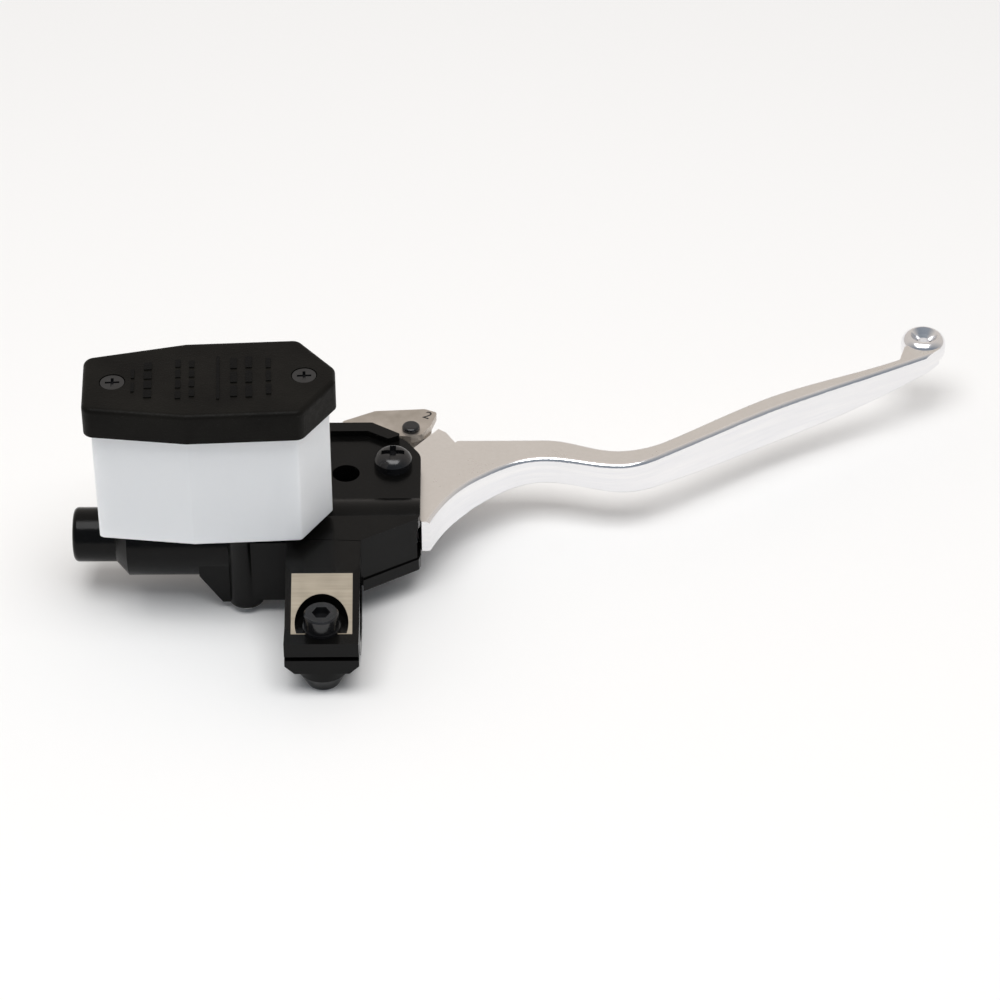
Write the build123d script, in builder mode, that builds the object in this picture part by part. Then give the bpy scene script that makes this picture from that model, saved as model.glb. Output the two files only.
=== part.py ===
from build123d import *
from math import cos, radians, sin
import os

os.makedirs("parts", exist_ok=True)

# Front brake master cylinder for a 22 mm handlebar. Millimetres.
# Origin: centre of the handlebar clamp bore. +X runs along the bar towards the lever tip,
# +Y points forward on the motorcycle and +Z up.

# Handlebar clamp
BAR_R = 11.0
CLAMP_HALF = 11.5
SPLIT_HALF = 0.8
CLAMP_BOLT_Y = 17.0
CLAMP_FAR_Y = 15.8
FAR_BOSS_R = 5.6
FAR_BOSS_Z = -8.0
CLAMP_NEAR_Y = -25.0
CLAMP_SHELF_Z = 6.0
CLAMP_BOTTOM_Z = -15.0
M6_R = 3.0
M6_HEAD_R = 5.0
NEAR_HEAD_R = 5.4
M6_HEAD_H = 6.0
SPOT_FACE_R = 8.3

# Barrel and its bore
BORE_Y = 30.0
BORE_Z = 5.7
BARREL_R = 13.0
BARREL_LEFT_X = -62.5
NECK_X = -8.0
NECK_R = 11.3
BORE_R = 7.0
BORE_END_X = -52.0
OUTLET_LEFT_X = -80.0
OUTLET_R = 8.7
OUTLET_THREAD_R = 4.5
OUTLET_THREAD_LENGTH = 13.0

# Lever fork: two flat ears with the lever between them
PIVOT_X = 21.1
PIVOT_Y = 52.3
FORK_MOUTH_X = 10.5
FORK_RIGHT_X = 30.0
FORK_GAP = 12.3
EAR_THICKNESS = 4.25
DECK_Z = BORE_Z + FORK_GAP / 2 + EAR_THICKNESS
FORK_BOTTOM_Z = BORE_Z - FORK_GAP / 2 - EAR_THICKNESS
DECK_FRONT_Y = 71.8
RIM_HEIGHT = 2.2
RIM_WIDTH = 4.6
PIVOT_R = 4.0
RUNNING = 0.05

# Lever
LEVER_THICKNESS = 11.8
LEVER_TOP = BORE_Z + LEVER_THICKNESS / 2
LEVER_BOTTOM = BORE_Z - LEVER_THICKNESS / 2
SLOT_BOTTOM = 2.45
SLOT_TOP = 8.95
EYE_R = 9.0
TIP_X = 199.9
TIP_Y = 126.6
TIP_R = 7.5

# Reach adjuster
CAM_X = 26.5
CAM_Y = 77.1
CAM_PIN_R = 1.5
CAM_LOBE_R = 5.4
CAM_OFFSET = 2.8
CAM_OFFSET_ANGLE = 62.0

# Reservoir and cover, in a frame that is turned a little about +Z
RES_YAW = 3.0
RES_X = -72.3
RES_Y = 22.0
RES_BOTTOM_Z = 19.4
RES_RIM_Z = 66.3
RES_WALL = 2.4
COVER_BOTTOM_Z = 60.6
COVER_TOP_Z = 71.0
COVER_OVERHANG = 2.3
DIAPHRAGM_T = 1.6
PLATE_T = 0.7
SCREW_S = (9.2, 67.7)
PORT_X = -27.0


def cylinder_x(x0, x1, radius, y=BORE_Y, z=BORE_Z, mode=Mode.ADD):
    """A round bar along X from x0 to x1, added to or cut from the part being built."""
    with BuildSketch(Plane.YZ.offset(x0)) as disc:
        with Locations((y, z)):
            Circle(radius)
    extrude(disc.sketch, amount=x1 - x0, mode=mode)


def cylinder_z(x, y, z0, z1, radius, mode=Mode.ADD):
    """A round post along Z from z0 to z1."""
    with BuildSketch(Plane.XY.offset(z0)) as disc:
        with Locations((x, y)):
            Circle(radius)
    extrude(disc.sketch, amount=z1 - z0, mode=mode)


def plate_z(points, z0, z1, corner=0.0, mode=Mode.ADD):
    """A flat plate from z0 to z1 with the given plan outline and rounded corners."""
    with BuildSketch(Plane.XY.offset(z0)) as outline:
        Polygon(*points, align=None)
        if corner:
            fillet(outline.vertices(), corner)
    extrude(outline.sketch, amount=z1 - z0, mode=mode)


def ring_x(x0, x1, inner, outer):
    """A flat ring round the bore axis."""
    cylinder_x(x0, x1, outer)
    cylinder_x(x0, x1, inner, mode=Mode.SUBTRACT)


def cap_screw(x, y, z_seat, length, up, radius, head_radius, head_height):
    """A socket-head screw whose head sits on z_seat; up is +1 for a head on top."""
    cylinder_z(x, y, z_seat, z_seat - up * length, radius)
    cylinder_z(x, y, z_seat, z_seat + up * head_height, head_radius)
    chamfer(
        faces().sort_by(Axis.Z)[-1 if up > 0 else 0].edges().filter_by(GeomType.CIRCLE),
        0.5,
    )
    with BuildSketch(Plane.XY.offset(z_seat + up * head_height)) as socket:
        with Locations((x, y)):
            RegularPolygon(radius=0.83 * radius, side_count=6, major_radius=False)
    extrude(socket.sketch, amount=-up * 0.5 * head_height, mode=Mode.SUBTRACT)


def save(part, name):
    part.part.label = name
    export_step(part.part, f"parts/{name}.step")


def res_plane(z):
    """The reservoir's own plan frame: x along its long axis from the square end."""
    heading = (cos(radians(RES_YAW)), sin(radians(RES_YAW)), 0)
    return Plane(origin=(RES_X, RES_Y, z), x_dir=heading, z_dir=(0, 0, 1))


COFFIN = [
    (0, -13.6),
    (31.4, -19.3),
    (66.2, -19.3),
    (77.2, -3.6),
    (77.2, 3.6),
    (66.2, 19.3),
    (31.4, 19.3),
    (0, 13.6),
]
COFFIN_CORNER = 3.6


def coffin(z0, z1, inset, mode=Mode.ADD):
    """The six-sided tank outline, set in from the cover's outside by inset."""
    with BuildSketch(res_plane(z0)) as outline:
        Polygon(*COFFIN, align=None)
        fillet(outline.vertices(), COFFIN_CORNER)
        if inset:
            offset(amount=-inset, kind=Kind.ARC)
    extrude(outline.sketch, amount=z1 - z0, mode=mode)


def res_post(s, w, z0, z1, radius, mode=Mode.ADD):
    with BuildSketch(res_plane(z0)) as disc:
        with Locations((s, w)):
            Circle(radius)
    extrude(disc.sketch, amount=z1 - z0, mode=mode)


# ---------------------------------------------------------------- cylinder body
EAR_OUTLINE = [
    (-6.0, 14.0),
    (11.5, 13.1),
    (29.4, 24.0),
    (FORK_RIGHT_X, 26.0),
    (FORK_RIGHT_X, 57.0),
    (24.8, 65.2),
    (14.0, DECK_FRONT_Y),
    (-3.0, DECK_FRONT_Y),
    (-17.0, 46.0),
    (-17.0, 30.0),
]
WEB_X = -25.5
WEB_Y = 19.5
WEB_R = 5.5
WEB_BOTTOM_Z = -12.0
RIB_NEAR_Y = 17.4
POCKET_NEAR_Y = 24.3
SEAT_STEP_X = 6.5

POCKET_BOTTOM_Z = BORE_Z - FORK_GAP / 2
EAR_BASE_Z = BORE_Z + FORK_GAP / 2
WALL_NEAR = [(2.5, 13.6), (11.2, 13.6), (29.1, 24.4)]


def ear(z0, z1):
    """One ear of the fork, with a wide curve round the pivot and small corners elsewhere."""
    with BuildSketch(Plane.XY.offset(z0)) as outline:
        Polygon(*EAR_OUTLINE, align=None)
        fillet(outline.vertices().filter_by(lambda v: v.X < 29.0 and v.Y < 29.0), 1.4)
        fillet(outline.vertices().filter_by(lambda v: v.X > 20.0 and v.Y > 50.0), 8.0)
    extrude(outline.sketch, amount=z1 - z0)


with BuildPart() as cylinder_body:
    # barrel with its stepped outlet end
    with BuildSketch(Plane(origin=(0, BORE_Y, BORE_Z), z_dir=(0, 0, 1))):
        with BuildLine():
            Polyline(
                (FORK_RIGHT_X, 0),
                (OUTLET_LEFT_X, 0),
                (OUTLET_LEFT_X, OUTLET_R - 1.6),
            )
            RadiusArc(
                (OUTLET_LEFT_X, OUTLET_R - 1.6),
                (OUTLET_LEFT_X + 1.6, OUTLET_R),
                1.6,
            )
            Polyline(
                (OUTLET_LEFT_X + 1.6, OUTLET_R),
                (BARREL_LEFT_X - 4.0, OUTLET_R),
                (BARREL_LEFT_X, BARREL_R),
                (NECK_X, BARREL_R),
                (NECK_X, NECK_R),
                (FORK_RIGHT_X, NECK_R),
                (FORK_RIGHT_X, 0),
            )
        make_face()
    revolve(axis=Axis((0, BORE_Y, BORE_Z), (1, 0, 0)))
    # fork: the two ears, and the solid wall that joins them beside the bore's mouth
    ear(EAR_BASE_Z, DECK_Z)
    ear(FORK_BOTTOM_Z, POCKET_BOTTOM_Z)
    plate_z(
        [(2.5, 15), (FORK_MOUTH_X, 15), (FORK_MOUTH_X, DECK_FRONT_Y - 1), (2.5, DECK_FRONT_Y - 1)],
        FORK_BOTTOM_Z,
        DECK_Z,
    )
    # near wall between the ears, set in from their edges, which trim the barrel's end
    plate_z([*WALL_NEAR, (29.1, BORE_Y), (2.5, BORE_Y)], POCKET_BOTTOM_Z, EAR_BASE_Z)
    plate_z(
        [EAR_OUTLINE[1], EAR_OUTLINE[2], EAR_OUTLINE[3], (45.0, 26.0), (45.0, 0.0), (11.5, 0.0)],
        FORK_BOTTOM_Z - 5.0,
        DECK_Z + 5.0,
        mode=Mode.SUBTRACT,
    )
    plate_z(
        [(11.5, 13.8), WALL_NEAR[2], (45.0, 24.4), (45.0, 0.0), (11.5, 0.0)],
        POCKET_BOTTOM_Z,
        EAR_BASE_Z,
        mode=Mode.SUBTRACT,
    )
    # raised rim along the deck's front edge
    plate_z(
        [
            (-1.5, DECK_FRONT_Y - RIM_WIDTH),
            (12.8, DECK_FRONT_Y - RIM_WIDTH),
            (19.4, DECK_FRONT_Y - RIM_WIDTH - 4.2),
            (23.8, DECK_FRONT_Y - 6.6),
            (14.0, DECK_FRONT_Y),
            (-3.0, DECK_FRONT_Y),
        ],
        DECK_Z,
        DECK_Z + RIM_HEIGHT,
        corner=0.8,
    )
    # clamp saddle: shelf for the bolt, a sloping flat and a top that runs into the barrel
    with BuildSketch(Plane.YZ.offset(-CLAMP_HALF)):
        Polygon(
            (CLAMP_NEAR_Y, SPLIT_HALF),
            (CLAMP_NEAR_Y, CLAMP_SHELF_Z),
            (-20.1, CLAMP_SHELF_Z),
            (-2.8, 16.0),
            (BORE_Y, 16.0),
            (BORE_Y, SPLIT_HALF),
            align=None,
        )
    extrude(amount=2 * CLAMP_HALF)
    chamfer(
        edges().filter_by(Plane.YZ).filter_by(GeomType.LINE).filter_by(
            lambda e: abs(e.center().Y + 11.45) < 0.5 and abs(e.center().Z - 11.0) < 0.5
        ),
        2.0,
    )
    # post and rib that carry the reservoir
    cylinder_z(WEB_X, WEB_Y, WEB_BOTTOM_Z, RES_BOTTOM_Z, WEB_R)
    with BuildSketch(Plane.XZ.offset(-RIB_NEAR_Y)):
        Polygon(
            (-40.0, -1.5),
            (-33.0, WEB_BOTTOM_Z),
            (WEB_X, WEB_BOTTOM_Z),
            (WEB_X, 6),
            (-40.0, 6),
            align=None,
        )
    extrude(amount=-5.6)
    plate_z([(WEB_X, 14.5), (-12.4, 14.5), (-12.4, 24), (WEB_X, 24)], -9.0, 14.0)
    plate_z([(-13, 14.5), (-10, 14.5), (-10, 24), (-13, 24)], SPLIT_HALF, 14.0)
    # seat for the reservoir's spigot
    cylinder_z(PORT_X, BORE_Y, BORE_Z, RES_BOTTOM_Z, 9.0)
    cylinder_z(PORT_X, BORE_Y, 14.2, RES_BOTTOM_Z, 6.5, mode=Mode.SUBTRACT)
    # pocket between the ears
    plate_z(
        [(FORK_MOUTH_X, POCKET_NEAR_Y), (40, POCKET_NEAR_Y), (40, 80), (FORK_MOUTH_X, 80)],
        POCKET_BOTTOM_Z,
        EAR_BASE_Z,
        mode=Mode.SUBTRACT,
    )
    # bore, mouth step, circlip groove, outlet passage and port
    cylinder_x(BORE_END_X, FORK_MOUTH_X, BORE_R, mode=Mode.SUBTRACT)
    cylinder_x(SEAT_STEP_X, FORK_MOUTH_X, BORE_R + 1.6, mode=Mode.SUBTRACT)
    cylinder_x(3.2, 4.4, BORE_R + 0.7, mode=Mode.SUBTRACT)
    cylinder_x(OUTLET_LEFT_X + OUTLET_THREAD_LENGTH, BORE_END_X, 2.0, mode=Mode.SUBTRACT)
    cylinder_x(OUTLET_LEFT_X, OUTLET_LEFT_X + OUTLET_THREAD_LENGTH, OUTLET_THREAD_R, mode=Mode.SUBTRACT)
    # fluid ports: the small one lies just past the cup, the wide one feeds behind it
    cylinder_z(PORT_X - 4.8, BORE_Y, BORE_Z, 14.4, 0.5, mode=Mode.SUBTRACT)
    cylinder_z(PORT_X + 4.0, BORE_Y, BORE_Z, 14.4, 1.5, mode=Mode.SUBTRACT)
    # handlebar, clamp bolts, pivot and casting recess
    plate_z(
        [(-12.0, -30), (12.0, -30), (12.0, CLAMP_FAR_Y + 0.4), (-12.0, CLAMP_FAR_Y + 0.4)],
        -20.0,
        SPLIT_HALF,
        mode=Mode.SUBTRACT,
    )
    cylinder_x(-CLAMP_HALF, CLAMP_HALF, BAR_R, y=0, z=0, mode=Mode.SUBTRACT)
    cylinder_z(0, -CLAMP_BOLT_Y, CLAMP_SHELF_Z, 20, SPOT_FACE_R, mode=Mode.SUBTRACT)
    cylinder_z(0, -CLAMP_BOLT_Y, 0, CLAMP_SHELF_Z, M6_R + 0.2, mode=Mode.SUBTRACT)
    cylinder_z(0, CLAMP_FAR_Y, -20.0, SPLIT_HALF, FAR_BOSS_R + 0.5, mode=Mode.SUBTRACT)
    cylinder_z(0, CLAMP_FAR_Y, 0, 10.0, M6_R, mode=Mode.SUBTRACT)
    cylinder_z(PIVOT_X, PIVOT_Y, FORK_BOTTOM_Z, DECK_Z, PIVOT_R, mode=Mode.SUBTRACT)
    cylinder_z(6.1, 47.5, DECK_Z - 7.0, DECK_Z, 4.4, mode=Mode.SUBTRACT)
    cylinder_z(WEB_X, WEB_Y, WEB_BOTTOM_Z, RES_BOTTOM_Z, 2.0, mode=Mode.SUBTRACT)
save(cylinder_body, "cylinder_body")

# ---------------------------------------------------------------- handlebar clamp
NEAR_BOSS_R = 8.0
NEAR_BOSS_TIP_R = 5.2
NEAR_BOSS_BOTTOM_Z = CLAMP_BOTTOM_Z
EAR_BOTTOM_Z = -6.0
EAR_CORNER = 3.0

with BuildPart() as clamp_cap:
    with BuildSketch(Plane.YZ.offset(-CLAMP_HALF)):
        with BuildLine():
            Polyline(
                (15.6, -4.0),
                (15.6, -SPLIT_HALF),
                (CLAMP_NEAR_Y, -SPLIT_HALF),
                (CLAMP_NEAR_Y, EAR_BOTTOM_Z),
            )
            Line((CLAMP_NEAR_Y, EAR_BOTTOM_Z), (-14.3, EAR_BOTTOM_Z))
            ThreePointArc((-14.3, EAR_BOTTOM_Z), (0, CLAMP_BOTTOM_Z), (15.6, -4.0))
        make_face()
    extrude(amount=2 * CLAMP_HALF)
    # lower corners of the near ear, and the tapering boss under it
    for side in (-1, 1):
        with BuildSketch(Plane.XZ.offset(-CLAMP_NEAR_Y)) as corner:
            Polygon(
                (side * CLAMP_HALF, EAR_BOTTOM_Z + EAR_CORNER),
                (side * CLAMP_HALF, EAR_BOTTOM_Z),
                (side * (CLAMP_HALF - EAR_CORNER), EAR_BOTTOM_Z),
                align=None,
            )
        extrude(corner.sketch, amount=-10.0, mode=Mode.SUBTRACT)
    with BuildSketch(Plane.XZ.offset(CLAMP_BOLT_Y)) as boss:
        Polygon(
            (0, -SPLIT_HALF),
            (NEAR_BOSS_R, -SPLIT_HALF),
            (NEAR_BOSS_R, EAR_BOTTOM_Z - 3.5),
            (NEAR_BOSS_TIP_R, NEAR_BOSS_BOTTOM_Z),
            (0, NEAR_BOSS_BOTTOM_Z),
            align=None,
        )
    revolve(boss.sketch, axis=Axis((0, -CLAMP_BOLT_Y, 0), (0, 0, 1)))
    cylinder_z(0, CLAMP_FAR_Y, FAR_BOSS_Z, -SPLIT_HALF, FAR_BOSS_R)
    cylinder_x(-CLAMP_HALF, CLAMP_HALF, BAR_R, y=0, z=0, mode=Mode.SUBTRACT)
    cylinder_z(0, -CLAMP_BOLT_Y, NEAR_BOSS_BOTTOM_Z, 0, M6_R, mode=Mode.SUBTRACT)
    cylinder_z(0, CLAMP_FAR_Y, -20, 0, M6_R + 0.2, mode=Mode.SUBTRACT)
    # flat for the far bolt's head
    cylinder_z(0, CLAMP_FAR_Y, -20, FAR_BOSS_Z, FAR_BOSS_R, mode=Mode.SUBTRACT)
save(clamp_cap, "clamp_cap")

WASHER_T = 1.0
with BuildPart() as clamp_washers:
    cylinder_z(0, -CLAMP_BOLT_Y, CLAMP_SHELF_Z, CLAMP_SHELF_Z + WASHER_T, 5.9)
    cylinder_z(0, CLAMP_FAR_Y, FAR_BOSS_Z - WASHER_T, FAR_BOSS_Z, M6_HEAD_R)
    cylinder_z(0, -CLAMP_BOLT_Y, CLAMP_SHELF_Z, CLAMP_SHELF_Z + WASHER_T, M6_R + 0.1, mode=Mode.SUBTRACT)
    cylinder_z(0, CLAMP_FAR_Y, FAR_BOSS_Z - WASHER_T, FAR_BOSS_Z, M6_R + 0.1, mode=Mode.SUBTRACT)
save(clamp_washers, "clamp_washers")

with BuildPart() as clamp_bolt_near:
    cap_screw(0, -CLAMP_BOLT_Y, CLAMP_SHELF_Z + WASHER_T, 20.0, 1, M6_R, NEAR_HEAD_R, M6_HEAD_H - WASHER_T)
save(clamp_bolt_near, "clamp_bolt_near")

with BuildPart() as clamp_bolt_far:
    cap_screw(0, CLAMP_FAR_Y, FAR_BOSS_Z - WASHER_T, 18.5, -1, M6_R, M6_HEAD_R, M6_HEAD_H - WASHER_T)
save(clamp_bolt_far, "clamp_bolt_far")

# ---------------------------------------------------------------- lever pivot
NUT_T = 5.0
PIVOT_WASHER_T = 1.0
PIVOT_HEAD_R = 6.1
PIVOT_HEAD_H = 4.9
PIVOT_BOLT_END_Z = FORK_BOTTOM_Z - PIVOT_WASHER_T - NUT_T - 0.6

with BuildPart() as pivot_bolt:
    with BuildSketch(Plane.XZ.offset(-PIVOT_Y)):
        with BuildLine():
            Polyline(
                (PIVOT_X, DECK_Z + PIVOT_HEAD_H),
                (PIVOT_X, PIVOT_BOLT_END_Z),
                (PIVOT_X + PIVOT_R, PIVOT_BOLT_END_Z),
                (PIVOT_X + PIVOT_R, DECK_Z),
                (PIVOT_X + PIVOT_HEAD_R, DECK_Z),
                (PIVOT_X + PIVOT_HEAD_R, DECK_Z + 2.4),
            )
            ThreePointArc(
                (PIVOT_X + PIVOT_HEAD_R, DECK_Z + 2.4),
                (PIVOT_X + 4.4, DECK_Z + 4.3),
                (PIVOT_X + 1.8, DECK_Z + PIVOT_HEAD_H),
            )
            Line((PIVOT_X + 1.8, DECK_Z + PIVOT_HEAD_H), (PIVOT_X, DECK_Z + PIVOT_HEAD_H))
        make_face()
    revolve(axis=Axis((PIVOT_X, PIVOT_Y, 0), (0, 0, 1)))
    # cross recess
    with BuildSketch(Plane.XY.offset(DECK_Z + 2.6)):
        with Locations((PIVOT_X, PIVOT_Y)):
            Rectangle(7.4, 2.0)
            Rectangle(2.0, 7.4)
    extrude(amount=4.0, mode=Mode.SUBTRACT)
save(pivot_bolt, "pivot_bolt")

with BuildPart() as pivot_washer:
    cylinder_z(PIVOT_X, PIVOT_Y, FORK_BOTTOM_Z - PIVOT_WASHER_T, FORK_BOTTOM_Z, 7.5)
    cylinder_z(PIVOT_X, PIVOT_Y, FORK_BOTTOM_Z - PIVOT_WASHER_T, FORK_BOTTOM_Z, PIVOT_R, mode=Mode.SUBTRACT)
save(pivot_washer, "pivot_washer")

NUT_TOP_Z = FORK_BOTTOM_Z - PIVOT_WASHER_T
with BuildPart() as pivot_nut:
    with BuildSketch(Plane.XY.offset(NUT_TOP_Z - NUT_T)):
        with Locations((PIVOT_X, PIVOT_Y)):
            RegularPolygon(radius=6.5, side_count=6, major_radius=False)
    extrude(amount=NUT_T)
    cylinder_z(PIVOT_X, PIVOT_Y, NUT_TOP_Z - NUT_T, NUT_TOP_Z, PIVOT_R, mode=Mode.SUBTRACT)
save(pivot_nut, "pivot_nut")

# ---------------------------------------------------------------- piston and seals
PISTON_R = BORE_R - RUNNING
CUP_R = BORE_R - 0.03
NOSE_X = 25.0
NOSE_R = 4.2
ROD_END_X = NOSE_X - NOSE_R - 0.3
ROD_R = 4.4
SHOULDER_X = 1.8
SECONDARY_X = (-5.4, -2.2)
WAIST_X = (-24.0, -7.4)
PRIMARY_X = (-30.0, -26.5)
NOSE_LAND_R = 3.2
SEAT_X = (-31.2, -30.0)
SPRING_R = 4.8
WIRE_R = 0.6

with BuildPart() as piston:
    with BuildSketch(Plane(origin=(0, BORE_Y, BORE_Z), z_dir=(0, 0, 1))):
        Polygon(
            (ROD_END_X, 0),
            (ROD_END_X, ROD_R - 1.2),
            (ROD_END_X - 1.2, ROD_R),
            (SHOULDER_X, ROD_R),
            (SHOULDER_X, PISTON_R),
            (SECONDARY_X[1], PISTON_R),
            (SECONDARY_X[1], ROD_R + 0.4),
            (SECONDARY_X[0], ROD_R + 0.4),
            (SECONDARY_X[0], PISTON_R),
            (WAIST_X[1], PISTON_R),
            (WAIST_X[1], ROD_R),
            (WAIST_X[0], ROD_R),
            (WAIST_X[0], PISTON_R),
            (PRIMARY_X[1], PISTON_R),
            (PRIMARY_X[1], NOSE_LAND_R),
            (SEAT_X[0], NOSE_LAND_R),
            (SEAT_X[0], 0),
            align=None,
        )
    revolve(axis=Axis((0, BORE_Y, BORE_Z), (1, 0, 0)))
save(piston, "piston")


def lip_seal(x_back, x_front, inner, outer):
    """A cup seal: a full-height heel and a V between its two lips, open towards -X."""
    with BuildSketch(Plane(origin=(0, BORE_Y, BORE_Z), z_dir=(0, 0, 1))) as profile:
        Polygon(
            (x_back, inner),
            (x_back, outer - 0.3),
            (x_back - 1.0, outer - 0.1),
            (x_front, outer),
            (x_front, outer - 0.7),
            (x_back - 1.4, (inner + outer) / 2),
            (x_front, inner + 0.7),
            (x_front, inner),
            align=None,
        )
    revolve(profile.sketch, axis=Axis((0, BORE_Y, BORE_Z), (1, 0, 0)))


with BuildPart() as primary_cup:
    lip_seal(PRIMARY_X[1], PRIMARY_X[0], NOSE_LAND_R, CUP_R)
save(primary_cup, "primary_cup")

with BuildPart() as secondary_cup:
    lip_seal(SECONDARY_X[1], SECONDARY_X[0], ROD_R + 0.4, CUP_R)
save(secondary_cup, "secondary_cup")

with BuildPart() as spring_seat:
    ring_x(SEAT_X[0], SEAT_X[1], NOSE_LAND_R, 5.9)
save(spring_seat, "spring_seat")

SPRING_LENGTH = SEAT_X[0] - BORE_END_X - 2 * WIRE_R - 0.1
SPRING_TURNS = 7
with BuildPart() as return_spring:
    with BuildLine() as coil:
        Helix(
            pitch=SPRING_LENGTH / SPRING_TURNS,
            height=SPRING_LENGTH,
            radius=SPRING_R,
            center=(BORE_END_X + WIRE_R + 0.05, BORE_Y, BORE_Z),
            direction=(1, 0, 0),
        )
    with BuildSketch(Plane(origin=coil.line @ 0, z_dir=coil.line % 0)):
        Circle(WIRE_R)
    sweep(path=coil.line, is_frenet=True)
save(return_spring, "return_spring")

with BuildPart() as stop_washer:
    ring_x(SHOULDER_X + 0.1, 3.2, ROD_R + RUNNING, BORE_R)
save(stop_washer, "stop_washer")

with BuildPart() as circlip:
    ring_x(3.2, 4.4, BORE_R - 1.2, BORE_R + 0.7)
    with BuildSketch(Plane.YZ.offset(3.2)):
        with Locations((BORE_Y + BORE_R, BORE_Z)):
            Rectangle(6.0, 3.0)
    extrude(amount=1.2, mode=Mode.SUBTRACT)
save(circlip, "circlip")

BOOT_END_X = FORK_MOUTH_X - 0.4
BOOT_LIP_X = SEAT_STEP_X + 1.4
with BuildPart() as dust_boot:
    ring_x(SEAT_STEP_X, BOOT_END_X, ROD_R + RUNNING, BORE_R + 1.6)
    cylinder_x(BOOT_LIP_X, BOOT_END_X, BORE_R + 0.4, mode=Mode.SUBTRACT)
    cylinder_x(BOOT_LIP_X, BOOT_END_X, ROD_R + 1.1)
    cylinder_x(BOOT_LIP_X, BOOT_END_X, ROD_R + RUNNING, mode=Mode.SUBTRACT)
save(dust_boot, "dust_boot")

# ---------------------------------------------------------------- lever
NOSE_Y = BORE_Y
BUSH_R = 5.5
PUSHER_BOTTOM = SLOT_BOTTOM + 0.15
PUSHER_TOP = SLOT_TOP - 0.15

with BuildPart() as lever_pusher:
    cylinder_z(PIVOT_X, PIVOT_Y, PUSHER_BOTTOM, PUSHER_TOP, EYE_R)
    cylinder_z(NOSE_X, NOSE_Y, PUSHER_BOTTOM, PUSHER_TOP, NOSE_R)
    plate_z(
        [(21.6, NOSE_Y), (NOSE_X + NOSE_R, NOSE_Y), (29.6, 50.0), (14.4, 46.4), (21.6, 36.0)],
        PUSHER_BOTTOM,
        PUSHER_TOP,
    )
    # front arm, whose flat end the reach cam bears on
    plate_z(
        [(20.0, 58.0), (26.9, 70.0), (32.6, 76.4), (35.4, 73.8), (31.0, 60.0), (28.0, 50.0)],
        PUSHER_BOTTOM,
        PUSHER_TOP,
    )
    cylinder_z(PIVOT_X, PIVOT_Y, PUSHER_BOTTOM, PUSHER_TOP, BUSH_R, mode=Mode.SUBTRACT)
save(lever_pusher, "lever_pusher")

with BuildPart() as pusher_bush:
    cylinder_z(PIVOT_X, PIVOT_Y, PUSHER_BOTTOM, PUSHER_TOP, BUSH_R)
    cylinder_z(PIVOT_X, PIVOT_Y, PUSHER_BOTTOM, PUSHER_TOP, PIVOT_R + RUNNING, mode=Mode.SUBTRACT)
save(pusher_bush, "pusher_bush")

# Lever plan at five places from root to tip: the rider's-side edge, the heading in degrees that
# the lever runs on there, and its width square to that heading
FINGER_REST = (70.0, 60.5, 0.0, 11.0)
LEVER_WAIST = (94.0, 56.5, 0.0, 9.0)
KNEE = (113.0, 65.0, 33.0, 6.5)
BLADE_MIDDLE = (147.0, 87.5, 31.0, 7.0)
BLADE_END = (193.0, 112.5, 29.0, 4.0)
STATIONS = [FINGER_REST, LEVER_WAIST, KNEE, BLADE_MIDDLE, BLADE_END]
ROOT_NEAR = (33.0, 28.0)
ROOT_SHOULDER = (48.5, 50.5)
ROOT_FAR = (42.5, 71.5)
HORN = [(41.0, 69.5), (38.0, 75.0), (35.5, 77.0)]
EYE_SIDE = [(30.4, 70.5), (24.0, 62.0), (14.5, 58.5), (14.0, 47.0), (24.0, 43.0), (30.4, 28.0)]
TIP_SHOULDER = (199.5, 116.0)
ROOT_HEADING = 68.0
SHOULDER_HEADING = 38.0
# Underside of the blade in x and z: a shallow arch under the finger rest, then a belly
ARCH = (84.0, 1.0)
BELLY = (143.0, -3.2)
RISE = (192.0, 2.0)
UNDER_TIP = (207.0, 5.6)
ARCH_START_X = 48.0


def far_side(station):
    """The far edge's point, one width across from the station's rider's-side point."""
    x, y, heading, width = station
    return (x - width * sin(radians(heading)), y + width * cos(radians(heading)))


def heading_vector(heading):
    """The plan direction of a heading given in degrees from +X."""
    return (cos(radians(heading)), sin(radians(heading)))


station_headings = [heading_vector(station[2]) for station in STATIONS]
near_edge = [ROOT_NEAR, ROOT_SHOULDER, *[station[:2] for station in STATIONS], TIP_SHOULDER]
near_headings = [
    heading_vector(ROOT_HEADING),
    heading_vector(SHOULDER_HEADING),
    *station_headings,
    station_headings[-1],
]
far_edge = [ROOT_FAR, *[far_side(station) for station in STATIONS]]
underside = [(ARCH_START_X, LEVER_BOTTOM), ARCH, BELLY, RISE, UNDER_TIP]
BLADE_EDGE = 1.5
UNDER_EDGE = 1.1
TIP_HOLE_R = 2.3
TIP_BOTTOM = 4.1
TIP_TOP = 13.4
TIP_EDGE = 3.8
TIP_DISH_R = 4.6
TIP_DISH_DEPTH = 3.0

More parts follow.
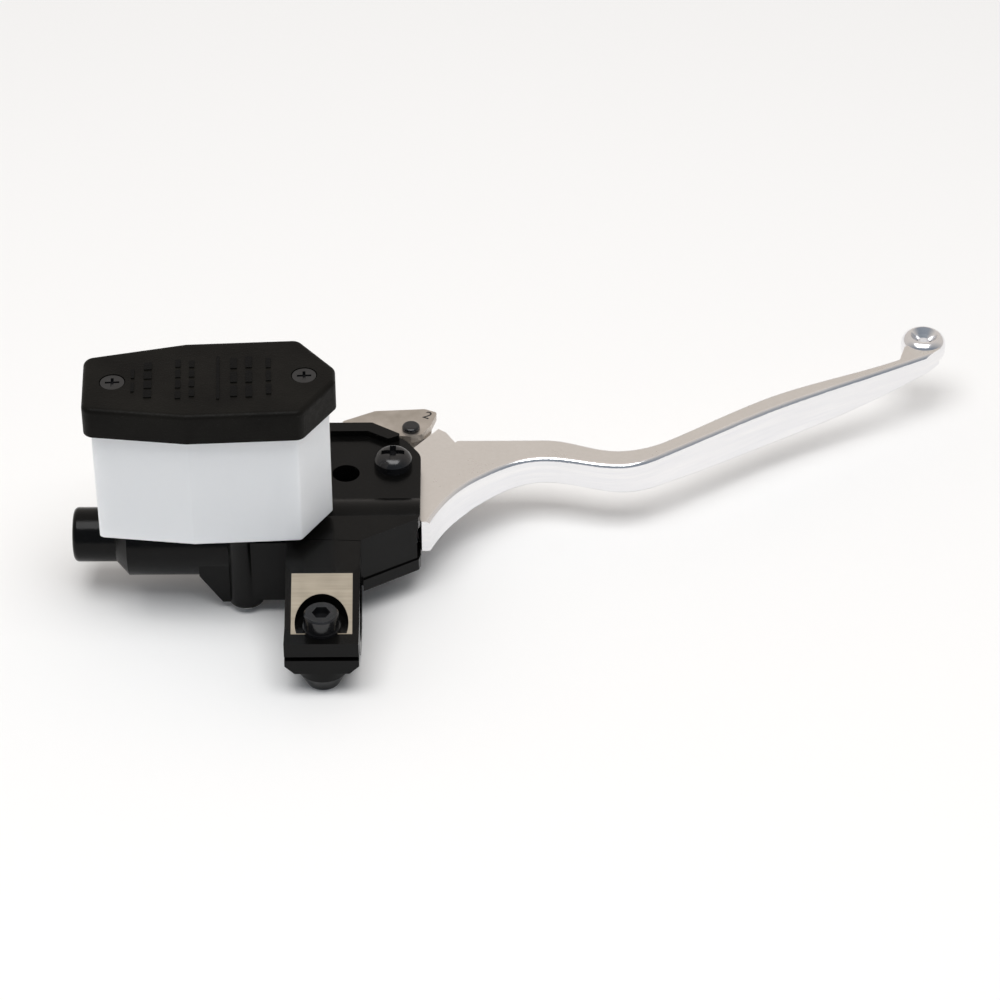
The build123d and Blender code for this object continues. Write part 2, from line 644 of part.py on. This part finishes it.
with BuildPart() as lever_blade:
    with BuildSketch(Plane.XY.offset(-6.0)) as plan:
        with BuildLine():
            Spline(*near_edge, tangents=near_headings)
            Polyline(near_edge[-1], (205.0, 121.0), (TIP_X, TIP_Y), (193.0, 122.0), far_edge[-1])
            Spline(*far_edge, tangents=[heading_vector(0), *station_headings])
            Polyline(far_edge[0], *HORN, *EYE_SIDE, near_edge[0])
        make_face()
    extrude(plan.sketch, amount=LEVER_TOP + 6.0)
    cylinder_z(PIVOT_X, PIVOT_Y, LEVER_BOTTOM, LEVER_TOP, EYE_R)
    with BuildSketch(Plane.XZ) as below:
        with BuildLine():
            Line((0, LEVER_BOTTOM), underside[0])
            Spline(*underside)
            Polyline(underside[-1], (217.0, 5.6), (217.0, -10.0), (0, -10.0), (0, LEVER_BOTTOM))
        make_face()
    extrude(below.sketch, amount=-200.0, mode=Mode.SUBTRACT)
    fillet(edges().filter_by(lambda e: e.length > 90.0 and e.center().Z > 8.0), BLADE_EDGE)
    fillet(edges().filter_by(lambda e: e.length > 90.0 and e.center().Z < 3.0), UNDER_EDGE)
    # looped tip
    with BuildSketch(Plane.XZ.offset(-TIP_Y)) as tip_half:
        with Locations((TIP_X + TIP_R / 2, (TIP_BOTTOM + TIP_TOP) / 2)):
            Rectangle(TIP_R, TIP_TOP - TIP_BOTTOM)
        fillet(tip_half.vertices().group_by(Axis.X)[-1], TIP_EDGE)
    revolve(tip_half.sketch, axis=Axis((TIP_X, TIP_Y, 0), (0, 0, 1)))
    cylinder_z(TIP_X, TIP_Y, 0.0, TIP_TOP, TIP_HOLE_R, mode=Mode.SUBTRACT)
    with BuildSketch(Plane.XZ.offset(-TIP_Y)) as dish:
        Polygon(
            (TIP_X, TIP_TOP),
            (TIP_X + TIP_DISH_R, TIP_TOP),
            (TIP_X + TIP_HOLE_R, TIP_TOP - TIP_DISH_DEPTH),
            (TIP_X, TIP_TOP - TIP_DISH_DEPTH),
            align=None,
        )
    revolve(dish.sketch, axis=Axis((TIP_X, TIP_Y, 0), (0, 0, 1)), mode=Mode.SUBTRACT)
    # front lug under the reach cam
    plate_z([(14.5, 58), (21.0, 77.0), (32.0, 77.0), (36.0, 70.0), (28.0, 56.0)], LEVER_BOTTOM, SLOT_BOTTOM)
    cylinder_z(CAM_X, CAM_Y, LEVER_BOTTOM, SLOT_BOTTOM, 5.6)
    # slot that takes the pusher
    plate_z(
        [(5, 20), (30.2, 20), (30.2, 50.0), (33.0, 56.0), (38.4, 66.0), (38.4, 90.0), (5, 90)],
        SLOT_BOTTOM,
        SLOT_TOP,
        mode=Mode.SUBTRACT,
    )
    cylinder_z(PIVOT_X, PIVOT_Y, LEVER_BOTTOM, LEVER_TOP, PIVOT_R + RUNNING, mode=Mode.SUBTRACT)
    cylinder_z(CAM_X, CAM_Y, LEVER_BOTTOM, SLOT_BOTTOM, CAM_PIN_R, mode=Mode.SUBTRACT)
save(lever_blade, "lever_blade")

# ---------------------------------------------------------------- reach adjuster
CAM_WASHER_T = 0.4
CAM_BOTTOM = SLOT_BOTTOM + CAM_WASHER_T
KNOB_R = 2.9
KNOB_H = 1.5
LOBE_X = CAM_X + CAM_OFFSET * cos(radians(CAM_OFFSET_ANGLE))
LOBE_Y = CAM_Y + CAM_OFFSET * sin(radians(CAM_OFFSET_ANGLE))
TAB_OUTLINE = [
    (4.0, 77.0),
    (4.0, 81.5),
    (14.5, 87.0),
    (31.0, 88.0),
    (35.0, 86.0),
    (33.0, 79.0),
    (30.0, 74.0),
    (26.5, 73.0),
    (12.0, 74.5),
]

with BuildPart() as reach_cam:
    cylinder_z(LOBE_X, LOBE_Y, CAM_BOTTOM, SLOT_TOP, CAM_LOBE_R)
    plate_z(TAB_OUTLINE, SLOT_TOP, LEVER_TOP, corner=1.0)
    cylinder_z(CAM_X, CAM_Y, CAM_BOTTOM, LEVER_TOP, CAM_PIN_R + RUNNING, mode=Mode.SUBTRACT)
save(reach_cam, "reach_cam")

with BuildPart() as cam_pin:
    cylinder_z(CAM_X, CAM_Y, LEVER_BOTTOM, LEVER_TOP + 0.1, CAM_PIN_R)
    cylinder_z(CAM_X, CAM_Y, LEVER_TOP + 0.1, LEVER_TOP + 0.1 + KNOB_H, KNOB_R)
    fillet(faces().sort_by(Axis.Z)[-1].edges(), 0.9)
save(cam_pin, "cam_pin")

with BuildPart() as cam_washer:
    cylinder_z(CAM_X, CAM_Y, SLOT_BOTTOM, CAM_BOTTOM - 0.05, 2.6)
    cylinder_z(CAM_X, CAM_Y, SLOT_BOTTOM, CAM_BOTTOM - 0.05, CAM_PIN_R, mode=Mode.SUBTRACT)
save(cam_washer, "cam_washer")

# ---------------------------------------------------------------- reservoir and cover
COVER_ROOF_Z = RES_RIM_Z + DIAPHRAGM_T + PLATE_T
POST_R = 4.0
SCREW_R = 2.0
SCREW_HEAD_R = 3.7
FLOOR_T = 2.6

with BuildPart() as reservoir:
    coffin(RES_BOTTOM_Z, RES_RIM_Z, COVER_OVERHANG)
    chamfer(faces().sort_by(Axis.Z)[0].edges(), 0.9)
    coffin(RES_BOTTOM_Z + FLOOR_T, RES_RIM_Z, COVER_OVERHANG + RES_WALL, mode=Mode.SUBTRACT)
    for s in SCREW_S:
        res_post(s, 0, RES_BOTTOM_Z + FLOOR_T, RES_RIM_Z, POST_R)
        res_post(s, 0, RES_RIM_Z - 14.0, RES_RIM_Z, SCREW_R, mode=Mode.SUBTRACT)
    # spigot into the cylinder body, and the lug for the fixing screw
    cylinder_z(PORT_X, BORE_Y, 15.2, RES_BOTTOM_Z, 4.2)
    cylinder_z(PORT_X, BORE_Y, 15.2, RES_BOTTOM_Z + FLOOR_T, 2.6, mode=Mode.SUBTRACT)
    cylinder_z(WEB_X, WEB_Y, RES_BOTTOM_Z + FLOOR_T, RES_BOTTOM_Z + 9.0, 4.5)
    cylinder_z(WEB_X, WEB_Y, RES_BOTTOM_Z, RES_BOTTOM_Z + 7.0, SCREW_R, mode=Mode.SUBTRACT)
save(reservoir, "reservoir")

with BuildPart() as diaphragm:
    coffin(RES_RIM_Z, RES_RIM_Z + DIAPHRAGM_T, COVER_OVERHANG)
    coffin(RES_RIM_Z - 6.0, RES_RIM_Z, COVER_OVERHANG + RES_WALL + 9.5)
    coffin(RES_RIM_Z - 4.6, RES_RIM_Z + DIAPHRAGM_T, COVER_OVERHANG + RES_WALL + 10.9, mode=Mode.SUBTRACT)
    for s in SCREW_S:
        res_post(s, 0, RES_RIM_Z, RES_RIM_Z + DIAPHRAGM_T, SCREW_R, mode=Mode.SUBTRACT)
save(diaphragm, "diaphragm")

with BuildPart() as diaphragm_plate:
    coffin(RES_RIM_Z + DIAPHRAGM_T, COVER_ROOF_Z, COVER_OVERHANG)
    for s in SCREW_S:
        res_post(s, 0, RES_RIM_Z + DIAPHRAGM_T, COVER_ROOF_Z, SCREW_R, mode=Mode.SUBTRACT)
save(diaphragm_plate, "diaphragm_plate")

SCREW_SEAT_Z = COVER_TOP_Z - 1.9
RIB_HEIGHT = 0.35
# Raised dashes across the cover: place along it, width, how many, their length and spacing
RIB_ROWS = [
    (15.4, 1.0, 2, 4.6, 7.0),
    (20.0, 2.4, 4, 3.6, 4.8),
    (29.2, 1.6, 4, 3.8, 5.4),
    (33.4, 1.6, 4, 3.4, 5.0),
    (41.4, 0.9, 1, 22.0, 0.0),
    (46.2, 2.0, 3, 5.4, 7.2),
    (50.8, 2.0, 3, 5.8, 7.6),
    (56.8, 1.5, 3, 5.0, 6.8),
]
with BuildPart() as reservoir_cap:
    coffin(COVER_BOTTOM_Z, COVER_TOP_Z, 0)
    fillet(faces().sort_by(Axis.Z)[-1].edges(), 1.6)
    coffin(COVER_BOTTOM_Z, COVER_ROOF_Z, COVER_OVERHANG - 0.25, mode=Mode.SUBTRACT)
    for s, width, count, length, pitch in RIB_ROWS:
        with BuildSketch(res_plane(COVER_TOP_Z)):
            with Locations((s, 0)):
                with GridLocations(0, pitch or length, 1, count):
                    Rectangle(width, length)
        extrude(amount=RIB_HEIGHT)
    for s in SCREW_S:
        res_post(s, 0, SCREW_SEAT_Z, COVER_TOP_Z + 1, SCREW_HEAD_R + 0.3, mode=Mode.SUBTRACT)
        res_post(s, 0, COVER_ROOF_Z, SCREW_SEAT_Z, SCREW_R + 0.1, mode=Mode.SUBTRACT)
save(reservoir_cap, "reservoir_cap")

with BuildPart() as cap_screws:
    for s in SCREW_S:
        res_post(s, 0, RES_RIM_Z - 12.0, SCREW_SEAT_Z, SCREW_R)
        res_post(s, 0, SCREW_SEAT_Z, SCREW_SEAT_Z + 1.7, SCREW_HEAD_R)
        with BuildSketch(res_plane(SCREW_SEAT_Z + 1.7)):
            with Locations((s, 0)):
                Rectangle(4.4, 0.9)
                Rectangle(0.9, 4.4)
        extrude(amount=-1.2, mode=Mode.SUBTRACT)
save(cap_screws, "cap_screws")

with BuildPart() as reservoir_grommet:
    cylinder_z(PORT_X, BORE_Y, 14.2, RES_BOTTOM_Z, 6.5)
    cylinder_z(PORT_X, BORE_Y, 14.2, RES_BOTTOM_Z, 4.2, mode=Mode.SUBTRACT)
save(reservoir_grommet, "reservoir_grommet")

with BuildPart() as reservoir_screw:
    cap_screw(WEB_X, WEB_Y, WEB_BOTTOM_Z, RES_BOTTOM_Z + 6.0 - WEB_BOTTOM_Z, -1, SCREW_R, 3.5, 2.4)
save(reservoir_screw, "reservoir_screw")
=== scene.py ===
import bpy
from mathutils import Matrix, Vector


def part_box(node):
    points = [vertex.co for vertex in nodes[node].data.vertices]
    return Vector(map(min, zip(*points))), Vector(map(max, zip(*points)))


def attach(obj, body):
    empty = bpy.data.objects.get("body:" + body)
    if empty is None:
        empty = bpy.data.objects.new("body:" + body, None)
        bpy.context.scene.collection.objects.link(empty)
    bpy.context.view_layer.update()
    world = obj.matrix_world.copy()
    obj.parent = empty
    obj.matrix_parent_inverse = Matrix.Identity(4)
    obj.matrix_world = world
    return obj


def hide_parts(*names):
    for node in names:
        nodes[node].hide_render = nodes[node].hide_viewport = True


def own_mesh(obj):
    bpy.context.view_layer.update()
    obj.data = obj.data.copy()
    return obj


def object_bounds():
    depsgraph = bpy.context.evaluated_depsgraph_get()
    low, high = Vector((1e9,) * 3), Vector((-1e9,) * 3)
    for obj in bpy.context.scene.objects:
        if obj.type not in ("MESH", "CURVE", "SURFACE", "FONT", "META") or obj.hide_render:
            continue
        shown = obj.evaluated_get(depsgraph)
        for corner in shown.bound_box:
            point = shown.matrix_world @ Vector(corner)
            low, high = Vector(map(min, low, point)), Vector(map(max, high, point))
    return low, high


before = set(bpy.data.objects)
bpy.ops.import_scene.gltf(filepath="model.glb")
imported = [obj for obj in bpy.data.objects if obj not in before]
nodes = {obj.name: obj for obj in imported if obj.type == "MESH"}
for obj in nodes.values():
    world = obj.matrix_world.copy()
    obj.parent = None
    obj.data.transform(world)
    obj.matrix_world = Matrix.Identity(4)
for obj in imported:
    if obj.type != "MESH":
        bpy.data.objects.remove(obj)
cad_low, cad_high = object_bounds()
MM = 0.001


# ------------------------------------------------------------------ node helpers
class Shader:
    """One procedural material: a Principled shader and the nodes that feed it."""

    def __init__(self, name, colour, roughness, metallic=0.0, **sockets):
        self.material = bpy.data.materials.new(name)
        self.material.use_nodes = True
        self.tree = self.material.node_tree
        self.shader = self.tree.nodes["Principled BSDF"]
        self.shader.inputs["Base Color"].default_value = (*colour, 1)
        self.shader.inputs["Roughness"].default_value = roughness
        self.shader.inputs["Metallic"].default_value = metallic
        for key, value in sockets.items():
            self.shader.inputs[key.replace("_", " ")].default_value = value
        where = self.tree.nodes.new("ShaderNodeTexCoord")
        self.place = where.outputs["Object"]
        self.facing = self.axes(where.outputs["Normal"])
        self.height = None

    def node(self, kind, **values):
        made = self.tree.nodes.new(kind)
        for key, value in values.items():
            setattr(made, key, value)
        return made

    def axes(self, vector):
        """The X, Y and Z of a vector, by name."""
        made = self.node("ShaderNodeSeparateXYZ")
        self.link(vector, made.inputs[0])
        return made.outputs

    def link(self, source, target):
        self.tree.links.new(source, target)

    def stretched(self, scale):
        """Object coordinates times a scale for each axis."""
        mapping = self.node("ShaderNodeMapping")
        self.link(self.place, mapping.inputs["Vector"])
        mapping.inputs["Scale"].default_value = scale
        return mapping.outputs["Vector"]

    def noise(self, scale, detail=3.0, rough=0.5, vector=None):
        made = self.node("ShaderNodeTexNoise")
        self.link(vector or self.place, made.inputs["Vector"])
        made.inputs["Scale"].default_value = scale
        made.inputs["Detail"].default_value = detail
        made.inputs["Roughness"].default_value = rough
        return made.outputs["Fac"]

    def cells(self, scale):
        made = self.node("ShaderNodeTexVoronoi")
        self.link(self.place, made.inputs["Vector"])
        made.inputs["Scale"].default_value = scale
        return made.outputs["Distance"]

    def spread(self, source, low, high, start=0.3, end=0.7):
        """source from start to end becomes low to high."""
        made = self.node("ShaderNodeMapRange")
        self.link(source, made.inputs["Value"])
        made.inputs["From Min"].default_value = start
        made.inputs["From Max"].default_value = end
        made.inputs["To Min"].default_value = low
        made.inputs["To Max"].default_value = high
        return made.outputs["Result"]

    def math(self, operation, a, b=None):
        made = self.node("ShaderNodeMath", operation=operation)
        for socket, value in zip(made.inputs, (a, b)):
            if isinstance(value, (int, float)):
                socket.default_value = value
            elif value is not None:
                self.link(value, socket)
        return made.outputs[0]

    def mix(self, share, a, b):
        """Colour a where share is 0 and b where it is 1."""
        made = self.node("ShaderNodeMix", data_type="RGBA")
        self.link(share, made.inputs["Factor"])
        sockets = [s for s in made.inputs if s.type == "RGBA"]
        for socket, value in zip(sockets, (a, b)):
            if isinstance(value, tuple):
                socket.default_value = (*value, 1)
            else:
                self.link(value, socket)
        return [s for s in made.outputs if s.type == "RGBA"][0]

    def colour(self, source):
        self.link(source, self.shader.inputs["Base Color"])

    def roughness(self, source):
        self.link(source, self.shader.inputs["Roughness"])

    def metallic(self, source):
        self.link(source, self.shader.inputs["Metallic"])

    def bump(self, source, depth):
        """Adds relief: source from 0 to 1 is depth in metres."""
        made = self.node("ShaderNodeBump")
        made.inputs["Strength"].default_value = 1.0
        made.inputs["Distance"].default_value = depth
        self.link(source, made.inputs["Height"])
        if self.height is not None:
            self.link(self.height, made.inputs["Normal"])
        self.height = made.outputs["Normal"]
        self.link(self.height, self.shader.inputs["Normal"])


def worn(shader, dark, light, scale=55.0):
    """A slow drift between two tones, as handling and casting leave."""
    shader.colour(shader.mix(shader.spread(shader.noise(scale, 4.0), 0, 1), dark, light))


# ------------------------------------------------------------------ materials
RAISED_MARK = 0.35 * MM
# The bare machined flat on the bar clamp, whose warm tan colour is partly a painted reflection: its
# middle, the way it faces, and how far it reaches
FACET_MIDDLE = (0, -11.45 * MM, 11.0 * MM)
FACET_FACING = Vector((0, -10.0, 17.3)).normalized()
FACET_DEPTH = 0.12 * MM
FACET_HALF_WIDTH = 9.45 * MM
FACET_Y = (-20.3 * MM, -2.9 * MM)
# How nearly level a face must be to count as the lever's flat top
LEVEL_ENOUGH = 0.95
cover_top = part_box("reservoir_cap")[1].z - 0.5 * RAISED_MARK


def black_paint():
    s = Shader("black_paint", (0.003, 0.003, 0.003), 0.3, Specular_IOR_Level=0.15)
    worn(s, (0.0020, 0.0020, 0.0020), (0.0042, 0.0040, 0.0036))
    s.roughness(s.spread(s.noise(220.0, 4.0), 0.16, 0.26))
    s.bump(s.noise(420.0, 2.0), 0.000018)
    s.bump(s.cells(1500.0), 0.000008)
    return s


def body_paint():
    """Black paint, with the sloping flat of the bar clamp left bare where it was machined and tinted a
    warm tan that is partly a painted reflection of the overhead light.
    """
    s = black_paint()
    s.material.name = "black_paint_body"
    offset = s.node("ShaderNodeVectorMath", operation="SUBTRACT")
    s.link(s.place, offset.inputs[0])
    offset.inputs[1].default_value = FACET_MIDDLE
    along = s.node("ShaderNodeVectorMath", operation="DOT_PRODUCT")
    s.link(offset.outputs[0], along.inputs[0])
    along.inputs[1].default_value = FACET_FACING
    near = s.math("LESS_THAN", s.math("ABSOLUTE", along.outputs["Value"]), FACET_DEPTH)
    place = s.axes(s.place)
    narrow = s.math("LESS_THAN", s.math("ABSOLUTE", place["X"]), FACET_HALF_WIDTH)
    lower = s.math("LESS_THAN", place["Y"], FACET_Y[1])
    upper = s.math("GREATER_THAN", place["Y"], FACET_Y[0])
    bare = s.math("MULTIPLY", s.math("MULTIPLY", near, narrow), s.math("MULTIPLY", lower, upper))
    lines = s.noise(60.0, 4.0, 0.6, s.stretched((0.6, 22.0, 22.0)))
    # The tan colour of the bare flat: real bare metal, warmed by a painted reflection of the overhead
    # light.
    bare_metal_with_painted_reflection = s.mix(s.spread(lines, 0, 1), (0.28, 0.24, 0.185), (0.345, 0.30, 0.235))
    paint = s.shader.inputs["Base Color"].links[0].from_socket
    s.colour(s.mix(bare, paint, bare_metal_with_painted_reflection))
    s.metallic(s.math("MULTIPLY", bare, 0.35))
    rough = s.shader.inputs["Roughness"].links[0].from_socket
    s.roughness(s.math("ADD", rough, s.math("MULTIPLY", bare, 0.34)))
    return s


def black_plastic():
    s = Shader("black_plastic", (0.008, 0.008, 0.008), 0.5, Specular_IOR_Level=0.07)
    worn(s, (0.0050, 0.0045, 0.0038), (0.0085, 0.0078, 0.0064))
    # The raised marks on the cap are coloured darker than the cap: painted shade.
    raised_marks_painted_shade = s.math("GREATER_THAN", s.axes(s.place)["Z"], cover_top)
    paint = s.shader.inputs["Base Color"].links[0].from_socket
    s.colour(s.mix(raised_marks_painted_shade, paint, (0.003, 0.003, 0.003)))
    s.roughness(s.spread(s.noise(500.0, 3.0), 0.38, 0.52))
    s.bump(s.cells(1900.0), 0.00005)
    s.bump(s.noise(300.0, 3.0), 0.00004)
    return s


def white_plastic():
    s = Shader(
        "white_plastic",
        (0.90, 0.93, 0.96),
        0.38,
        Subsurface_Weight=0.7,
        Subsurface_Radius=(1.0, 1.0, 1.0),
        Subsurface_Scale=0.004,
    )
    worn(s, (0.91, 0.95, 0.98), (0.94, 0.97, 0.99), 30.0)
    s.roughness(s.spread(s.noise(160.0, 3.0), 0.30, 0.46))
    s.bump(s.noise(420.0, 3.0), 0.00004)
    return s


def black_steel():
    s = Shader("black_steel", (0.008, 0.008, 0.009), 0.25, 0.0, Specular_IOR_Level=0.5)
    worn(s, (0.006, 0.006, 0.0065), (0.013, 0.013, 0.014), 240.0)
    s.roughness(s.spread(s.noise(900.0, 3.0), 0.14, 0.26))
    s.bump(s.noise(1400.0, 2.0), 0.000004)
    return s


def zinc_steel():
    s = Shader("zinc_steel", (0.62, 0.62, 0.60), 0.3, 1.0)
    worn(s, (0.52, 0.53, 0.53), (0.70, 0.69, 0.66), 300.0)
    s.roughness(s.spread(s.noise(1200.0, 3.0), 0.20, 0.40))
    s.bump(s.noise(2600.0, 2.0), 0.00001)
    return s


def black_rubber():
    s = Shader("black_rubber", (0.02, 0.02, 0.02), 0.7)
    worn(s, (0.014, 0.014, 0.014), (0.030, 0.029, 0.028), 180.0)
    s.roughness(s.spread(s.noise(700.0, 3.0), 0.60, 0.82))
    s.bump(s.cells(2200.0), 0.00003)
    return s


def machined_aluminium():
    s = Shader("machined_aluminium", (0.72, 0.72, 0.71), 0.3, 1.0)
    rings = s.noise(90.0, 4.0, 0.6, s.stretched((16.0, 1.0, 1.0)))
    s.colour(s.mix(s.spread(rings, 0, 1), (0.60, 0.60, 0.60), (0.78, 0.78, 0.76)))
    s.roughness(s.spread(rings, 0.22, 0.38))
    s.bump(rings, 0.00002)
    return s


def cast_aluminium():
    s = Shader("cast_aluminium", (0.68, 0.63, 0.57), 0.45, 1.0)
    worn(s, (0.47, 0.43, 0.38), (0.60, 0.55, 0.50), 160.0)
    s.roughness(s.spread(s.noise(520.0, 4.0), 0.36, 0.56))
    s.bump(s.noise(900.0, 4.0), 0.00006)
    return s


def polished_aluminium():
    """Polished sides with fine lengthwise lines, and a duller flat top whose darker, warmer colour is a
    painted reflection of the warm wall.
    """
    s = Shader("polished_aluminium", (0.86, 0.85, 0.84), 0.2, 1.0)
    top = s.math("GREATER_THAN", s.facing["Z"], LEVEL_ENOUGH)
    hairs = s.noise(30.0, 5.0, 0.65, s.stretched((1.0, 1.0, 26.0)))
    grain = s.noise(700.0, 5.0, 0.7)
    side_tone = s.mix(s.spread(hairs, 0, 1), (0.83, 0.83, 0.85), (0.93, 0.92, 0.92))
    # The flat top is coloured darker and warmer than the sides: a painted reflection of the warm wall.
    top_painted_reflection = s.mix(s.spread(grain, 0, 1), (0.83, 0.80, 0.765), (0.87, 0.84, 0.81))
    s.colour(s.mix(top, side_tone, top_painted_reflection))
    side_rough = s.spread(hairs, 0.13, 0.24)
    extra = s.math("MULTIPLY", top, s.spread(grain, 0.11, 0.14))
    s.roughness(s.math("ADD", side_rough, extra))
    return s


def bronze():
    s = Shader("bronze", (0.55, 0.36, 0.17), 0.35, 1.0)
    worn(s, (0.46, 0.29, 0.13), (0.62, 0.43, 0.22), 350.0)
    s.roughness(s.spread(s.noise(1500.0, 3.0), 0.30, 0.46))
    s.bump(s.noise(2600.0, 2.0), 0.00002)
    return s


FINISHES = {
    body_paint: ["cylinder_body"],
    black_paint: ["clamp_cap"],
    black_plastic: ["reservoir_cap"],
    white_plastic: ["reservoir"],
    black_steel: [
        "clamp_bolt_near",
        "clamp_bolt_far",
        "clamp_washers",
        "pivot_bolt",
        "cap_screws",
        "cam_pin",
    ],
    zinc_steel: [
        "pivot_washer",
        "pivot_nut",
        "return_spring",
        "stop_washer",
        "circlip",
        "cam_washer",
        "reservoir_screw",
        "diaphragm_plate",
        "spring_seat",
    ],
    black_rubber: ["primary_cup", "secondary_cup", "dust_boot", "diaphragm", "reservoir_grommet"],
    machined_aluminium: ["piston", "lever_pusher"],
    cast_aluminium: ["reach_cam"],
    polished_aluminium: ["lever_blade"],
    bronze: ["pusher_bush"],
}
made = {}
for finish, names in FINISHES.items():
    made[finish.__name__] = finish()
    for name in names:
        nodes[name].data.materials.clear()
        nodes[name].data.materials.append(made[finish.__name__].material)

# ------------------------------------------------------------------ numeral on the reach plate
NUMERAL_SIZE = 5.4 * MM
NUMERAL_RELIEF = 0.05 * MM
NUMERAL_INSET = (3.0 * MM, 3.6 * MM)
NUMERAL_TURN = -0.5
letters = bpy.data.curves.new("reach_numeral", "FONT")
letters.body = "2"
letters.size = NUMERAL_SIZE
letters.extrude = NUMERAL_RELIEF
letters.align_x = "CENTER"
letters.align_y = "CENTER"
text = bpy.data.objects.new("numeral_source", letters)
bpy.context.scene.collection.objects.link(text)
tab_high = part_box("reach_cam")[1]
text.location = (tab_high.x - NUMERAL_INSET[0], tab_high.y - NUMERAL_INSET[1], tab_high.z)
text.rotation_euler = (0, 0, NUMERAL_TURN)
bpy.context.view_layer.update()
solid = bpy.data.meshes.new_from_object(text.evaluated_get(bpy.context.evaluated_depsgraph_get()))
solid.transform(text.matrix_world)
bpy.data.objects.remove(text)
numeral = bpy.data.objects.new("reach_numeral", solid)
bpy.context.scene.collection.objects.link(numeral)
numeral.data.materials.clear()
numeral.data.materials.append(made["black_steel"].material)
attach(numeral, "cam")

# ------------------------------------------------------------------ return spring
# It shortens as the lever is pulled. Its far end rests on the end of the bore, so this copy stays on the
# body.
cad_spring = nodes["return_spring"]
spring = bpy.data.objects.new("spring_coil", cad_spring.data.copy())
bpy.context.scene.collection.objects.link(spring)
spring.matrix_world = cad_spring.matrix_world.copy()
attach(spring, "root")
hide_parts("return_spring")
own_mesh(spring)

# ------------------------------------------------------------------ studio
FLOOR_SIZE = 12
floor_place = (0, 0, cad_low.z)
bpy.ops.mesh.primitive_grid_add(
    x_subdivisions=4, y_subdivisions=4, size=FLOOR_SIZE, location=floor_place
)
floor = bpy.context.object
floor.name = "floor"
paper = Shader("paper", (0.93, 0.925, 0.915), 0.9)
worn(paper, (0.925, 0.92, 0.91), (0.935, 0.93, 0.92), 2.0)
paper.roughness(paper.spread(paper.noise(300.0), 0.85, 0.95))
paper.bump(paper.noise(900.0), 0.00002)
floor.data.materials.append(paper.material)

# A cool, dim room in front of the object and a warm, pale wall behind it
ROOM_FRONT = (0.24, 0.27, 0.31, 1)
ROOM_BACK = (0.64, 0.60, 0.565, 1)
FADE_START = -0.55
FADE_END = 0.35
world = bpy.data.worlds.new("studio")
bpy.context.scene.world = world
world.use_nodes = True
room = world.node_tree
direction = room.nodes.new("ShaderNodeTexCoord")
split = room.nodes.new("ShaderNodeSeparateXYZ")
room.links.new(direction.outputs["Generated"], split.inputs[0])
fade = room.nodes.new("ShaderNodeMapRange")
fade.inputs["From Min"].default_value = FADE_START
fade.inputs["From Max"].default_value = FADE_END
room.links.new(split.outputs["Y"], fade.inputs["Value"])
wall = room.nodes.new("ShaderNodeMix")
wall.data_type = "RGBA"
ends = [s for s in wall.inputs if s.type == "RGBA"]
ends[0].default_value = ROOM_FRONT
ends[1].default_value = ROOM_BACK
room.links.new(fade.outputs["Result"], wall.inputs["Factor"])
room.links.new([s for s in wall.outputs if s.type == "RGBA"][0], room.nodes["Background"].inputs["Color"])
room.nodes["Background"].inputs["Strength"].default_value = 1.0


def point_at(thing, place, target):
    """Puts a lamp or camera at a place, looking at a target, and adds it to the scene."""
    thing.location = place
    thing.rotation_mode = "QUATERNION"
    thing.rotation_quaternion = (Vector(target) - Vector(place)).to_track_quat("-Z", "Y")
    bpy.context.scene.collection.objects.link(thing)


# One large softbox overhead, a little towards the camera
LAMP_PLACE = (0.0, -0.34, 1.6)
LAMP_TARGET = (0.03, 0.03, 0)
LAMP_SIZE = (1.5, 0.95)
LAMP_WATTS = 20.5
softbox = bpy.data.lights.new("overhead", "AREA")
softbox.shape = "RECTANGLE"
softbox.size, softbox.size_y = LAMP_SIZE
softbox.energy = LAMP_WATTS
point_at(bpy.data.objects.new("overhead", softbox), LAMP_PLACE, LAMP_TARGET)

CAMERA_PLACE = (0.04766, -0.84175, 0.69973)
CAMERA_TARGET = (0.05518, 0.02011, 0.02635)
CAMERA_LENS = 126
camera = bpy.data.objects.new("camera", bpy.data.cameras.new("camera"))
camera.data.lens = CAMERA_LENS
point_at(camera, CAMERA_PLACE, CAMERA_TARGET)
bpy.context.scene.camera = camera
bpy.context.scene.view_settings.view_transform = "Standard"
